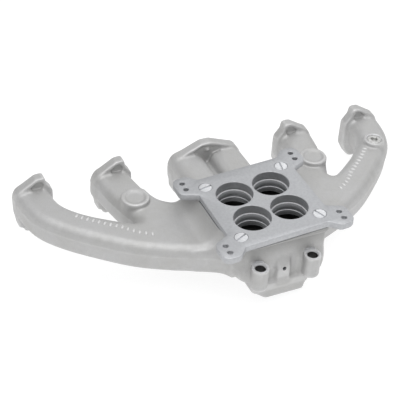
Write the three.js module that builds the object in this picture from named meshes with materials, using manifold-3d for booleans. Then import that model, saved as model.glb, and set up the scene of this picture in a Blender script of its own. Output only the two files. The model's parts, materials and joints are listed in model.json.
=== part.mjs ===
// Four-barrel intake manifold for an inline six-cylinder engine.
// Millimetres, +Z up. The origin is the centre of the carburettor pad's top face.
// +X runs along the crankshaft, +Y points at the cylinder head.
// The manifold is one aluminium casting, split here into its natural sections,
// with a bolted adapter plate, its gasket, four screws and one pipe plug.
import * as THREE from "three";
import { mergeVertices } from "three/addons/utils/BufferGeometryUtils.js";
import Module from "manifold-3d";

const wasm = await Module();
wasm.setup();

// ---- Driving dimensions -------------------------------------------------
const GAP = 0.3; // between neighbouring sections and pieces
const PAD_TILT = THREE.MathUtils.degToRad(3.5); // the casting leans this much under a level pad
const WALL = 5.5; // casting wall around the passages

const PLATE_THICK = 9.8;
const PLATE_SIDE = 62; // half width along X
const PLATE_END = 64.8; // half length along Y
const BORE_SPACING = 47;
const PLATE_BORE_R = 21.75;
const CASTING_BORE_R = 20.6;
const STUD_X = 71.44; // carburettor stud holes, two patterns on each corner ear
const STUD_Y = [54, 65.5];
const STUD_HOLE_R = 3.25;
const SCREW_X = 49.5;
const SCREW_Y = 48;
const SCREW_HEAD_R = 7.6;
const SCREW_HEAD_DEPTH = 4.6;
const SCREW_HEAD_RIM = 0.9;
const SCREW_SHANK_R = 3.9;
const SCREW_LENGTH = 27;
const SLOT_WIDTH = 1.8;
const SLOT_DEPTH = 1.9;
const SLOT_ANGLES = [24, 62, 78, 8]; // degrees from +X, as each screw stopped

const GASKET_THICK = 1;
const GASKET_BORE_R = 22.2;

const RUNNER_TOP = -34; // heights in the leaning casting frame
const RUNNER_BOTTOM = -71;
const RUNNER_ROUND = 11;
const RUNNER_STEP = 14; // along each centre line, longer than the edge rounding
const HOUSING_SIDE = 58;
const HOUSING_FRONT = -62;
const HOUSING_BACK = 68;
const HOUSING_BOTTOM = -94;
const BASE_TOP = -80;
const CHAMBER_ROOF = -36;
const CHAMBER_FLOOR = -70;

const FLANGE_BACK = 148;
const FLANGE_FACE = 160;
const PORT_HEIGHT = -52.5; // centre of every port
const FLANGE_HEIGHT = -56; // centre of every flange
const OUTER_PORT_X = 228;
const INNER_PORT_X = 127;
const CENTRE_PORT_X = 25.4;
const PORT_WIDTH = 33;
const PORT_TALL = 27;
const PORT_ROUND = 7;

// The front bosses and pad are central under the level plate, so off the casting's own axis.
const FRONT_CENTRE_X = 3.2;
const FRONT_BOSS_X = 33.5; // from FRONT_CENTRE_X to each boss
const FRONT_BOSS_Y = -65;
const FRONT_BOSS_R = 10.5;
const FRONT_BOSS_HOLE_R = 6.2;
const FRONT_BOSS_TOP = -40;
const FRONT_BOSS_BOTTOM = -70;
const FRONT_PAD_SIDE = 7; // half width of the centre pad between the front bosses
const FRONT_PAD_PROUD = 2;
const FRONT_PAD_HOLE_R = 2.4;
const FRONT_PAD_HOLE_Z = -55;

const RUNNER_BOSS_TOP = -28;
const RUNNER_BOSS_CHAMFER = 2.5;
const INNER_BOSS = { x: 120, y: 89, radius: 17, recessR: 10.5, recessDepth: 1.2 };
const PLUG_BOSS = { x: 212.5, y: 94.5, radius: 13.5, recessR: 9.8, recessDepth: 4.6 };
const PLUG_R = 9.4;
const PLUG_HEX_R = 4.6;
const PLUG_HEX_DEPTH = 3;

// Outer arm: stations [x, y, half width] from the plenum to the outer port.
const ARM_STATIONS = [
  [40, 21, 49],
  [62, 21.5, 48.5],
  [104, 25, 35],
  [140, 34.5, 24],
  [175.5, 60, 20.8],
  [203.5, 86, 20],
  [221.5, 113, 21],
  [228, 148, 22],
  [228, 170, 22],
];
const INNER_RUNNER_STATIONS = [
  [104, 30, 15],
  [111, 66, 18],
  [118.5, 98, 21.5],
  [127, 148, 22],
  [129, 170, 22],
];

// ---- Solids --------------------------------------------------------------
function solidOf(geometry) {
  const bare = geometry.clone();
  bare.deleteAttribute("normal");
  bare.deleteAttribute("uv");
  const welded = mergeVertices(bare, 1e-4);
  return new wasm.Manifold(
    new wasm.Mesh({
      numProp: 3,
      vertProperties: new Float32Array(welded.attributes.position.array),
      triVerts: new Uint32Array(welded.index.array),
    }),
  );
}

function geometryOf(solid) {
  const { vertProperties, triVerts } = solid.getMesh();
  const geometry = new THREE.BufferGeometry();
  geometry.setAttribute("position", new THREE.BufferAttribute(vertProperties, 3));
  geometry.setIndex(new THREE.BufferAttribute(triVerts, 1));
  geometry.computeVertexNormals();
  return geometry;
}

function block(x, y, z) {
  const size = [x[1] - x[0], y[1] - y[0], z[1] - z[0]];
  const box = new THREE.BoxGeometry(...size);
  return solidOf(box.translate((x[0] + x[1]) / 2, (y[0] + y[1]) / 2, (z[0] + z[1]) / 2));
}

// Upright round bar from z[0] to z[1]; rTop may differ from rBottom.
function bar(x, y, z, rBottom, rTop = rBottom, sides = 20) {
  const cylinder = new THREE.CylinderGeometry(rTop, rBottom, z[1] - z[0], sides);
  return solidOf(cylinder.rotateX(Math.PI / 2).translate(x, y, (z[0] + z[1]) / 2));
}

// Closed outline from corners [x, y, radius], each corner rounded by an arc.
function roundedOutline(corners) {
  const shape = new THREE.Shape();
  corners.forEach(([x, y, radius], i) => {
    const corner = new THREE.Vector2(x, y);
    const before = new THREE.Vector2(...corners.at(i - 1)).sub(corner).normalize();
    const after = new THREE.Vector2(...corners[(i + 1) % corners.length]).sub(corner).normalize();
    const half = Math.acos(before.dot(after)) / 2;
    const middle = before.clone().add(after).setLength(radius / Math.sin(half));
    const centre = corner.clone().add(middle);
    const start = corner.clone().addScaledVector(before, radius / Math.tan(half)).sub(centre);
    const end = corner.clone().addScaledVector(after, radius / Math.tan(half)).sub(centre);
    const clockwise = before.cross(after) > 0;
    shape.absarc(centre.x, centre.y, radius, start.angle(), end.angle(), clockwise);
  });
  shape.closePath();
  return shape;
}

// Upright slab of an outline, its top and bottom edges rounded over by `round`.
function slab(shape, z, round = 0) {
  const options = {
    depth: z[1] - z[0] - 2 * round,
    curveSegments: 3,
    bevelEnabled: round > 0,
    bevelSize: round,
    bevelThickness: round,
    bevelOffset: -round,
    bevelSegments: 2,
  };
  return solidOf(new THREE.ExtrudeGeometry(shape, options).translate(0, 0, z[0] + round));
}

// Plate standing across the casting, from y[0] to y[1]; the shape is drawn in X and Z.
function standing(shape, y) {
  const options = { depth: y[1] - y[0], bevelEnabled: false, curveSegments: 2 };
  const geometry = new THREE.ExtrudeGeometry(shape, options);
  return solidOf(geometry.rotateX(Math.PI / 2).translate(0, y[1], 0));
}

// Outline of a runner: its centre line through the stations, widened to each side.
function runnerOutline(stations, shrink = 0) {
  const centres = new THREE.SplineCurve(stations.map(([x, y]) => new THREE.Vector2(x, y)));
  const widths = new THREE.SplineCurve(stations.map(([, , w], i) => new THREE.Vector2(i, w - shrink)));
  const steps = Math.ceil(centres.getLength() / RUNNER_STEP);
  const near = [];
  const far = [];
  for (let i = 0; i <= steps; i += 1) {
    const t = centres.getUtoTmapping(i / steps);
    const at = centres.getPoint(t);
    const along = centres.getTangent(t);
    const half = widths.getPoint(t).y;
    near.push(new THREE.Vector2(at.x + along.y * half, at.y - along.x * half));
    far.unshift(new THREE.Vector2(at.x - along.y * half, at.y + along.x * half));
  }
  return new THREE.Shape([...near, ...far]);
}

function portWindow(x, y) {
  const w = PORT_WIDTH / 2;
  const h = PORT_TALL / 2;
  const corners = [
    [x - w, PORT_HEIGHT - h, PORT_ROUND],
    [x + w, PORT_HEIGHT - h, PORT_ROUND],
    [x + w, PORT_HEIGHT + h, PORT_ROUND],
    [x - w, PORT_HEIGHT + h, PORT_ROUND],
  ];
  return standing(roundedOutline(corners), y);
}

function mirrored(solid) {
  return solid.mirror([1, 0, 0]);
}

// ---- Materials -------------------------------------------------------------
function metal(colour, roughness, metalness = 1) {
  return new THREE.MeshStandardMaterial({ color: colour, roughness, metalness });
}

const castAluminium = () => metal(0xb8b6b1, 0.62, 0.85);
const machinedAluminium = () => metal(0xc1c3c7, 0.38);
const zincSteel = () => metal(0xdcdee0, 0.25);
const plainSteel = () => metal(0x8c8c8a, 0.4);
const gasketFibre = () => metal(0x4b4a46, 0.9, 0);

const manifold = new THREE.Group();
const casting = new THREE.Group();
casting.rotation.y = PAD_TILT;
manifold.add(casting);

function addPiece(parent, name, solid, material) {
  const mesh = new THREE.Mesh(geometryOf(solid), material);
  mesh.name = name;
  parent.add(mesh);
  return mesh;
}

// A solid drawn level, turned into the casting's leaning frame.
function leaned(solid) {
  return solid.rotate([0, -THREE.MathUtils.radToDeg(PAD_TILT), 0]);
}

function eachCorner(place) {
  for (const sx of [-1, 1]) {
    for (const sy of [-1, 1]) {
      place(sx, sy);
    }
  }
}

// ---- Carburettor adapter plate ----------------------------------------------
const deckZ = -PLATE_THICK - 2 * GAP - GASKET_THICK;

function throttleBore(sx, sy, z, radius) {
  return bar((sx * BORE_SPACING) / 2, (sy * BORE_SPACING) / 2, z, radius, radius, 32);
}

function plateOutline() {
  const quarter = [
    [PLATE_SIDE, 38, 2],
    [82, 47.5, 9],
    [82, 76, 10],
    [62.5, 76, 8],
    [52, PLATE_END, 5],
  ];
  const right = [...quarter.map(([x, y, r]) => [x, -y, r]).reverse(), ...quarter];
  return roundedOutline([...right, ...right.map(([x, y, r]) => [-x, y, r]).reverse()]);
}

function adapterPlate() {
  let plate = slab(plateOutline(), [-PLATE_THICK, 0], 0);
  const through = [-PLATE_THICK - 1, 1];
  const countersink = [-SCREW_HEAD_DEPTH - GAP, -SCREW_HEAD_RIM];
  const shankHole = SCREW_SHANK_R + GAP;
  const headHole = SCREW_HEAD_R + GAP;
  eachCorner((sx, sy) => {
    plate = plate.subtract(throttleBore(sx, sy, through, PLATE_BORE_R));
    for (const y of STUD_Y) {
      plate = plate.subtract(bar(sx * STUD_X, sy * y, through, STUD_HOLE_R, STUD_HOLE_R, 12));
    }
    const at = [sx * SCREW_X, sy * SCREW_Y];
    plate = plate.subtract(bar(...at, through, shankHole));
    plate = plate.subtract(bar(...at, countersink, shankHole, headHole));
    plate = plate.subtract(bar(...at, [-SCREW_HEAD_RIM - 0.01, 1], headHole));
  });
  return plate;
}

addPiece(manifold, "adapter_plate", adapterPlate(), machinedAluminium());

function plateGasket() {
  const corners = [
    [-53, -57, 8],
    [53, -57, 8],
    [53, 60, 8],
    [-53, 60, 8],
  ];
  const z = [deckZ + GAP, deckZ + GAP + GASKET_THICK];
  const through = [z[0] - 1, z[1] + 1];
  let gasket = slab(roundedOutline(corners), z);
  eachCorner((sx, sy) => {
    gasket = gasket.subtract(throttleBore(sx, sy, through, GASKET_BORE_R));
    gasket = gasket.subtract(bar(sx * (SCREW_X + 2), sy * SCREW_Y, through, 7.5, 7.5, 16));
  });
  return gasket;
}

addPiece(manifold, "plate_gasket", plateGasket(), gasketFibre());

function plateScrew(slotAngle) {
  const profile = [
    [0, -SCREW_LENGTH],
    [SCREW_SHANK_R - 0.8, -SCREW_LENGTH],
    [SCREW_SHANK_R, -SCREW_LENGTH + 1],
    [SCREW_SHANK_R, -SCREW_HEAD_DEPTH],
    [SCREW_HEAD_R, -SCREW_HEAD_RIM],
    [SCREW_HEAD_R, -0.2],
    [0, -0.2],
  ];
  const lathe = new THREE.LatheGeometry(profile.map(([x, y]) => new THREE.Vector2(x, y)), 20);
  const half = SLOT_WIDTH / 2;
  const slot = block([-10, 10], [-half, half], [-0.2 - SLOT_DEPTH, 1]).rotate([0, 0, slotAngle]);
  return solidOf(lathe.rotateX(Math.PI / 2)).subtract(slot);
}

const screwCorners = [[-1, -1], [1, -1], [1, 1], [-1, 1]];
screwCorners.forEach(([sx, sy], i) => {
  const name = `plate_screw_${sy < 0 ? "front" : "rear"}_${sx < 0 ? "left" : "right"}`;
  const screw = addPiece(manifold, name, plateScrew(SLOT_ANGLES[i]), zincSteel());
  screw.position.set(sx * SCREW_X, sy * SCREW_Y, 0);
});

// ---- Plenum housing and heat riser base ---------------------------------------
function housingBlank() {
  const front = roundedOutline([
    [-17, HOUSING_BOTTOM, 8],
    [31.5, HOUSING_BOTTOM, 3],
    [35, -81.5, 3],
    [HOUSING_SIDE - 4, -68, 6],
    [HOUSING_SIDE, -44, 8],
    [HOUSING_SIDE, 10, 2],
    [-HOUSING_SIDE, 10, 2],
    [-HOUSING_SIDE, -64, 8],
    [-HOUSING_SIDE + 8, -73, 6],
    [-38, -77, 5],
  ]);
  const plan = roundedOutline([
    [-HOUSING_SIDE, HOUSING_FRONT, 24],
    [HOUSING_SIDE, HOUSING_FRONT, 4],
    [HOUSING_SIDE, HOUSING_BACK, 4],
    [-HOUSING_SIDE, HOUSING_BACK, 4],
  ]);
  const blank = standing(front, [HOUSING_FRONT, HOUSING_BACK]).intersect(slab(plan, [-100, 12]));
  const abovePad = leaned(block([-90, 90], [-90, 90], [deckZ, 40]));
  return blank.subtract(abovePad);
}

function plenumHousing() {
  let housing = housingBlank().subtract(block([-90, 90], [-90, 90], [-120, BASE_TOP]));
  const z = [CHAMBER_FLOOR, CHAMBER_ROOF];
  const chamber = roundedOutline([
    [-HOUSING_SIDE - 9, -23, 6],
    [-44, -23, 6],
    [-36, -45, 6],
    [36, -45, 6],
    [44, -23, 6],
    [HOUSING_SIDE + 9, -23, 6],
    [HOUSING_SIDE + 9, 61, 6],
    [-HOUSING_SIDE - 9, 61, 6],
  ]);
  housing = housing.subtract(slab(chamber, z, 3));
  for (const side of [-1, 1]) {
    housing = housing.subtract(portWindow(side * CENTRE_PORT_X, [50, HOUSING_BACK + 5]));
    const around = [FRONT_BOSS_BOTTOM - 6, FRONT_BOSS_TOP + 3];
    const bossX = FRONT_CENTRE_X + side * FRONT_BOSS_X;
    housing = housing.subtract(bar(bossX, FRONT_BOSS_Y, around, FRONT_BOSS_R + GAP));
  }
  eachCorner((sx, sy) => {
    const bore = throttleBore(sx, sy, [-60, 0], CASTING_BORE_R);
    const holeDepth = [-SCREW_LENGTH - 2, 0];
    const screwHole = bar(sx * SCREW_X, sy * SCREW_Y, holeDepth, SCREW_SHANK_R + GAP);
    housing = housing.subtract(leaned(bore)).subtract(leaned(screwHole));
  });
  return housing;
}

function heatRiserBase() {
  let base = housingBlank().intersect(block([-90, 90], [-90, 40], [-120, BASE_TOP - GAP]));
  const pocket = roundedOutline([
    [-10, -30, 6],
    [23, -30, 6],
    [23, 26, 6],
    [-10, 26, 6],
  ]);
  base = base.subtract(slab(pocket, [-120, BASE_TOP - 4]));
  return base;
}

addPiece(casting, "plenum_housing", plenumHousing(), castAluminium());
addPiece(casting, "heat_riser_base", heatRiserBase(), castAluminium());

// Upright tubular bosses on the front wall, open through the middle.
function frontBoss(side) {
  const x = FRONT_CENTRE_X + side * FRONT_BOSS_X;
  const chamfer = 1.2;
  const z = [FRONT_BOSS_BOTTOM, FRONT_BOSS_TOP];
  const hole = FRONT_BOSS_HOLE_R;
  return bar(x, FRONT_BOSS_Y, z, FRONT_BOSS_R)
    .subtract(bar(x, FRONT_BOSS_Y, [z[0] - 1, z[1] + 1], hole))
    .subtract(bar(x, FRONT_BOSS_Y, [z[1] - chamfer, z[1] + 0.01], hole, hole + chamfer));
}

addPiece(casting, "front_boss_left", frontBoss(-1), castAluminium());
addPiece(casting, "front_boss_right", frontBoss(1), castAluminium());

function frontPad() {
  const pad = roundedOutline([
    [FRONT_CENTRE_X - FRONT_PAD_SIDE, -78, 2],
    [FRONT_CENTRE_X + FRONT_PAD_SIDE, -78, 2],
    [FRONT_CENTRE_X + FRONT_PAD_SIDE, -41, 4],
    [FRONT_CENTRE_X - FRONT_PAD_SIDE, -41, 4],
  ]);
  const drill = new THREE.CylinderGeometry(FRONT_PAD_HOLE_R, FRONT_PAD_HOLE_R, 20, 16);
  const hole = solidOf(drill.translate(FRONT_CENTRE_X, HOUSING_FRONT, FRONT_PAD_HOLE_Z));
  return standing(pad, [HOUSING_FRONT - FRONT_PAD_PROUD, HOUSING_FRONT - GAP]).subtract(hole);
}

addPiece(casting, "front_pad", frontPad(), castAluminium());

// ---- Side castings: trunk, outer arm and inner runner, mirrored left to right ------
function cornerWeb(shrink) {
  const web = new THREE.Shape();
  web.moveTo(44, 30);
  web.lineTo(120 - shrink, 30);
  web.lineTo(120 - shrink, 112);
  web.lineTo(98.5 + shrink, 112);
  web.quadraticCurveTo(93 + shrink, 72 - shrink, 44, 70 - shrink);
  return web;
}

function sideSolid() {
  const z = [RUNNER_BOTTOM, RUNNER_TOP];
  const inside = [RUNNER_BOTTOM + WALL, RUNNER_TOP - WALL];
  const outer = slab(runnerOutline(ARM_STATIONS), z, RUNNER_ROUND)
    .add(slab(runnerOutline(INNER_RUNNER_STATIONS), z, RUNNER_ROUND))
    .add(slab(cornerWeb(0), z, RUNNER_ROUND));
  const passage = slab(runnerOutline(ARM_STATIONS, WALL), inside, 5)
    .add(slab(runnerOutline(INNER_RUNNER_STATIONS, WALL), inside, 5))
    .add(slab(cornerWeb(WALL), inside, 5));
  const mouths = portWindow(OUTER_PORT_X, [140, 160]).add(portWindow(INNER_PORT_X, [140, 160]));
  return outer.subtract(passage).subtract(mouths);
}

const sideCasting = sideSolid();
const TRUNK_END = 133;
const RUNNER_START = 70;
const tall = [-100, 0];
const backLimit = FLANGE_BACK - GAP;
const trunkZone = block([HOUSING_SIDE + GAP, TRUNK_END], [-60, RUNNER_START], tall);
const armZone = block([TRUNK_END + GAP, 270], [-60, backLimit], tall);

// Behind the trunk and left of the V between the inner runner and the outer arm.
function innerRunnerZone() {
  const zone = new THREE.Shape();
  zone.moveTo(HOUSING_SIDE + GAP, RUNNER_START + GAP);
  zone.lineTo(TRUNK_END + GAP, RUNNER_START + GAP);
  zone.lineTo(TRUNK_END + GAP, 62);
  zone.lineTo(158, 112);
  zone.lineTo(158, backLimit);
  zone.lineTo(HOUSING_SIDE + GAP, backLimit);
  return slab(zone, tall);
}

const trunk = sideCasting.intersect(trunkZone);
const innerRunner = sideCasting.intersect(innerRunnerZone());
const outerArm = sideCasting.intersect(armZone).subtract(innerRunnerZone());

addPiece(casting, "trunk_left", mirrored(trunk), castAluminium());
addPiece(casting, "trunk_right", trunk, castAluminium());
addPiece(casting, "runner_1", mirrored(outerArm), castAluminium());
addPiece(casting, "runner_2", mirrored(innerRunner), castAluminium());
addPiece(casting, "runner_5", innerRunner, castAluminium());
addPiece(casting, "runner_6", outerArm, castAluminium());

// ---- Centre runners ------------------------------------------------------------
function centreRunner(side) {
  const stations = [
    [side * CENTRE_PORT_X, HOUSING_BACK - 20, 21],
    [side * CENTRE_PORT_X, FLANGE_BACK + 20, 21],
  ];
  const outer = slab(runnerOutline(stations), [RUNNER_BOTTOM, RUNNER_TOP], RUNNER_ROUND);
  const zone = block([-60, 60], [HOUSING_BACK + GAP, backLimit], tall);
  return outer.intersect(zone).subtract(portWindow(side * CENTRE_PORT_X, [40, 170]));
}

addPiece(casting, "runner_3", centreRunner(-1), castAluminium());
addPiece(casting, "runner_4", centreRunner(1), castAluminium());

// ---- Port flanges ----------------------------------------------------------------
// A single flange about its port centre: the clamp notch is on the manifold's centre side.
function singleFlange(centreX) {
  const outline = roundedOutline([
    [-16.5, 37.5, 4],
    [-6, 37, 5],
    [18, 22, 9],
    [22, -6, 18],
    [15, -37.5, 12],
    [-15, -37.5, 14],
    [-26, -17, 12],
    [-26, 17, 6],
    [-18, 27.5, 5],
  ]);
  const flange = standing(outline, [FLANGE_BACK, FLANGE_FACE]).translate([centreX, 0, FLANGE_HEIGHT]);
  return flange.subtract(portWindow(centreX, [FLANGE_BACK - 5, FLANGE_FACE + 5]));
}

function doubleFlange() {
  const outline = roundedOutline([
    [-6, -20, 10],
    [6, -20, 10],
    [40, -33, 12],
    [50.5, -52, 12],
    [46, -86, 14],
    [30, -93.5, 10],
    [-30, -93.5, 10],
    [-44, -86, 14],
    [-47, -52, 12],
    [-42, -36, 10],
  ]);
  return standing(outline, [FLANGE_BACK, FLANGE_FACE])
    .subtract(portWindow(-CENTRE_PORT_X, [FLANGE_BACK - 5, FLANGE_FACE + 5]))
    .subtract(portWindow(CENTRE_PORT_X, [FLANGE_BACK - 5, FLANGE_FACE + 5]));
}

addPiece(casting, "port_flange_1", mirrored(singleFlange(OUTER_PORT_X)), castAluminium());
addPiece(casting, "port_flange_2", mirrored(singleFlange(INNER_PORT_X)), castAluminium());
addPiece(casting, "port_flange_3_4", doubleFlange(), castAluminium());
addPiece(casting, "port_flange_5", singleFlange(INNER_PORT_X), castAluminium());
addPiece(casting, "port_flange_6", singleFlange(OUTER_PORT_X), castAluminium());

// ---- Round bosses on the runners, and the plug in the last one -----------------------
function runnerBoss(boss, side = 1) {
  const x = side * boss.x;
  const shoulder = RUNNER_BOSS_TOP - RUNNER_BOSS_CHAMFER;
  const rim = bar(x, boss.y, [shoulder, RUNNER_BOSS_TOP], boss.radius, boss.radius - RUNNER_BOSS_CHAMFER);
  const recess = bar(x, boss.y, [RUNNER_BOSS_TOP - boss.recessDepth, RUNNER_BOSS_TOP + 1], boss.recessR);
  return bar(x, boss.y, [RUNNER_TOP + GAP, shoulder], boss.radius).add(rim).subtract(recess);
}

addPiece(casting, "runner_boss_2", runnerBoss(INNER_BOSS, -1), castAluminium());
addPiece(casting, "runner_boss_5", runnerBoss(INNER_BOSS), castAluminium());
addPiece(casting, "runner_boss_6", runnerBoss(PLUG_BOSS), castAluminium());

function pipePlug({ x, y, recessDepth }) {
  const z = [RUNNER_BOSS_TOP - recessDepth + GAP, RUNNER_BOSS_TOP - 0.6];
  const hexSocket = bar(x, y, [z[1] - PLUG_HEX_DEPTH, z[1] + 1], PLUG_HEX_R, PLUG_HEX_R, 6);
  return bar(x, y, z, PLUG_R, PLUG_R, 24).subtract(hexSocket);
}

addPiece(casting, "pipe_plug", pipePlug(PLUG_BOSS), plainSteel());

export default manifold;
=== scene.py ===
import json
import math

import bmesh
import bpy
import numpy as np
from mathutils import Matrix, Vector


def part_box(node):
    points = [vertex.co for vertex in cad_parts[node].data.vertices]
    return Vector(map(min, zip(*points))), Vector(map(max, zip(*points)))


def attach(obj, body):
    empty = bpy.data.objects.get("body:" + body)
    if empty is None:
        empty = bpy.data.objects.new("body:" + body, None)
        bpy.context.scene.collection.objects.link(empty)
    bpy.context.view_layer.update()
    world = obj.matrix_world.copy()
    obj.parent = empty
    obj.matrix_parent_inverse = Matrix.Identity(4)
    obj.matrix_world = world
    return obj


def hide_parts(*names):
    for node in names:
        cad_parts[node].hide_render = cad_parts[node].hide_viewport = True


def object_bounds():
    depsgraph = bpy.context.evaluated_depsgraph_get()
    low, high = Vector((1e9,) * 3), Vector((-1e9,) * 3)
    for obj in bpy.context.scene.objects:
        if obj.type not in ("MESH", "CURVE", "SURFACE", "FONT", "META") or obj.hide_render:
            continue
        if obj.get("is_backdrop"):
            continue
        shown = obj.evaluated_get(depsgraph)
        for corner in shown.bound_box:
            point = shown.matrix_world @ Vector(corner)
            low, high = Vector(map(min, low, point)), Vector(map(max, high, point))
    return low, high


MM = 0.001
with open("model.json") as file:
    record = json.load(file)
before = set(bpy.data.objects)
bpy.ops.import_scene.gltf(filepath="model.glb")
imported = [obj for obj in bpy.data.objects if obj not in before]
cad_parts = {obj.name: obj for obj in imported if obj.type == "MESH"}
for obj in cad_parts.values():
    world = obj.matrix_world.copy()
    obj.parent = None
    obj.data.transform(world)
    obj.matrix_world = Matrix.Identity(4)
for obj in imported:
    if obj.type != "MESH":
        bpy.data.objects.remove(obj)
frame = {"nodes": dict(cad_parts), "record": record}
CAD_LOW, CAD_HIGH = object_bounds()

# The casting leans under a level pad: its own axes come from a machined boss face.
boss_axis = next(m["axis"] for m in frame["record"]["mounts"] if m["name"] == "front_boss_top_left")
LEAN_SIN, LEAN_COS = boss_axis[0], boss_axis[2]
LEAN = Matrix.Rotation(math.atan2(LEAN_SIN, LEAN_COS), 4, "Y")


def level_box(node):
    """Lowest and highest corner of a CAD node, level, in millimetres."""
    low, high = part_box(node)
    return np.array(low) / MM, np.array(high) / MM


def lean_box(node):
    """Lowest and highest corner of a CAD node in the casting's leaning axes, in millimetres."""
    co = np.array([v.co for v in frame["nodes"][node].data.vertices], float) / MM
    x = co[:, 0] * LEAN_COS - co[:, 2] * LEAN_SIN
    z = co[:, 0] * LEAN_SIN + co[:, 2] * LEAN_COS
    points = np.stack([x, co[:, 1], z], 1)
    return points.min(0), points.max(0)


# ---------------------------------------------------------------- places from the CAD
HOUSING = lean_box("plenum_housing")
BASE = lean_box("heat_riser_base")
ARM = lean_box("runner_6")
FLANGE_6 = lean_box("port_flange_6")
FLANGE_5 = lean_box("port_flange_5")
BOSS_5 = lean_box("runner_boss_5")
BOSS_6 = lean_box("runner_boss_6")
FRONT_LEFT = lean_box("front_boss_left")
FRONT_RIGHT = lean_box("front_boss_right")
PAD = lean_box("front_pad")
PLATE = level_box("adapter_plate")
GASKET = level_box("plate_gasket")
PLUG = lean_box("pipe_plug")

GAP = 0.3  # between neighbouring pieces in the CAD
WALL = 5.5  # casting wall around the passages
FLANGE_SHOULDER = 26.0  # from a port's centre to its flange's notched side
FLANGE_FOOT = 37.5  # from a flange's centre down to its foot
PORT_RISE = 3.5  # of a port's centre over its flange's centre
PORT_HALF = (16.5, 13.5)
PORT_ROUND = 7.0

TOP, BOTTOM = ARM[1][2], ARM[0][2]
FACE_Y, BACK_Y = FLANGE_6[1][1], FLANGE_6[0][1]
FLANGE_DEEP = 8.0  # half of a flange's thickness before its face is cut
OUTER_X = FLANGE_6[0][0] + FLANGE_SHOULDER
INNER_X = FLANGE_5[0][0] + FLANGE_SHOULDER
CENTRE_X = 25.4
FLANGE_Z = FLANGE_6[0][2] + FLANGE_FOOT
PORT_Z = FLANGE_Z + PORT_RISE
DECK_Z = GASKET[0][2] - GAP

BORE_AT = 23.5  # half the spacing of the throttle bores
BORES = [(sx * BORE_AT, sy * BORE_AT) for sx in (-1, 1) for sy in (-1, 1)]
STUD_X = 71.44
STUD_Y = (54, 65.5)  # two stud patterns on each corner ear
FRONT_HOLE_R = 6.2
PAD_HOLE_R, PAD_HOLE_Z = 2.4, -54.5


# ---------------------------------------------------------------- plan and height curves
def smooth_path(points, step=2.0):
    """Catmull-Rom curve through the points, at even steps."""
    p = np.array(points, float)
    p = np.vstack([2 * p[0] - p[1], p, 2 * p[-1] - p[-2]])
    out = []
    for i in range(1, len(p) - 2):
        count = max(2, int(np.linalg.norm(p[i + 1][:2] - p[i][:2]) / step))
        for t in np.arange(count) / count:
            a, b, c, d = p[i - 1], p[i], p[i + 1], p[i + 2]
            out.append(
                0.5
                * (
                    2 * b
                    + (c - a) * t
                    + (2 * a - 5 * b + 4 * c - d) * t**2
                    + (3 * b - a - 3 * c + d) * t**3
                )
            )
    out.append(p[-2])
    return np.array(out)


def ribbon(stations):
    """Closed outline of a band: [x, y, half width] along its middle."""
    path = smooth_path(stations)
    along = np.gradient(path[:, :2], axis=0)
    along /= np.linalg.norm(along, axis=1)[:, None]
    across = np.stack([along[:, 1], -along[:, 0]], 1)
    right = path[:, :2] + across * path[:, 2:3]
    left = path[:, :2] - across * path[:, 2:3]
    return np.vstack([right, left[::-1]])


def rounded(corners, arc=6):
    """Closed outline from [x, y, radius] corners."""
    out = []
    count = len(corners)
    for i, (x, y, r) in enumerate(corners):
        here = np.array([x, y], float)
        before = np.array(corners[i - 1][:2], float) - here
        after = np.array(corners[(i + 1) % count][:2], float) - here
        before /= np.linalg.norm(before)
        after /= np.linalg.norm(after)
        half = math.acos(np.clip(before @ after, -1, 1)) / 2
        middle = before + after
        centre = here + middle / np.linalg.norm(middle) * r / math.sin(half)
        start = here + before * r / math.tan(half) - centre
        end = here + after * r / math.tan(half) - centre
        a0, a1 = math.atan2(start[1], start[0]), math.atan2(end[1], end[0])
        turn = (a1 - a0 + math.pi) % (2 * math.pi) - math.pi
        for t in np.linspace(0, 1, arc + 1):
            out.append(centre + r * np.array([math.cos(a0 + turn * t), math.sin(a0 + turn * t)]))
    return np.array(out)


def rounded_box(low, high, r, arc=6):
    """Outline of the rectangle between two corners, rounded at r."""
    return rounded(
        [[low[0], low[1], r], [high[0], low[1], r], [high[0], high[1], r], [low[0], high[1], r]], arc
    )


def bend(start, pull, end, count):
    """Points of a quadratic curve from start to end, drawn towards pull."""
    t = np.linspace(0, 1, count)[:, None]
    start, pull, end = (np.array(point, float) for point in (start, pull, end))
    return (1 - t) ** 2 * start + 2 * t * (1 - t) * pull + t * t * end


def outline_field(outline, u, v):
    """Signed distance from each point (u, v) to a closed outline, negative inside."""
    best = np.full(np.broadcast(u, v).shape, 1e12)
    inside = np.zeros(best.shape, bool)
    for a, b in zip(outline, np.roll(outline, -1, 0)):
        edge = b - a
        length = edge @ edge
        if length < 1e-12:
            continue
        du, dv = u - a[0], v - a[1]
        t = np.clip((du * edge[0] + dv * edge[1]) / length, 0, 1)
        best = np.minimum(best, (du - t * edge[0]) ** 2 + (dv - t * edge[1]) ** 2)
        if a[1] != b[1]:
            crosses = (v >= min(a[1], b[1])) & (v < max(a[1], b[1]))
            inside ^= crosses & (u < a[0] + (v - a[1]) * edge[0] / edge[1])
    return np.where(inside, -1, 1) * np.sqrt(best)


def join(a, b, r):
    """Union with a fillet of radius r."""
    u, v = np.maximum(r - a, 0), np.maximum(r - b, 0)
    return np.maximum(r, np.minimum(a, b)) - np.sqrt(u * u + v * v)


def meet(a, b, r):
    """Intersection with an edge rounded at radius r."""
    u, v = np.maximum(r + a, 0), np.maximum(r + b, 0)
    return np.minimum(-r, np.maximum(a, b)) + np.sqrt(u * u + v * v)


def ramp(x, low, high):
    """0 below low, 1 above high, smooth between."""
    t = np.clip((x - low) / (high - low), 0, 1)
    return t * t * (3 - 2 * t)


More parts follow.
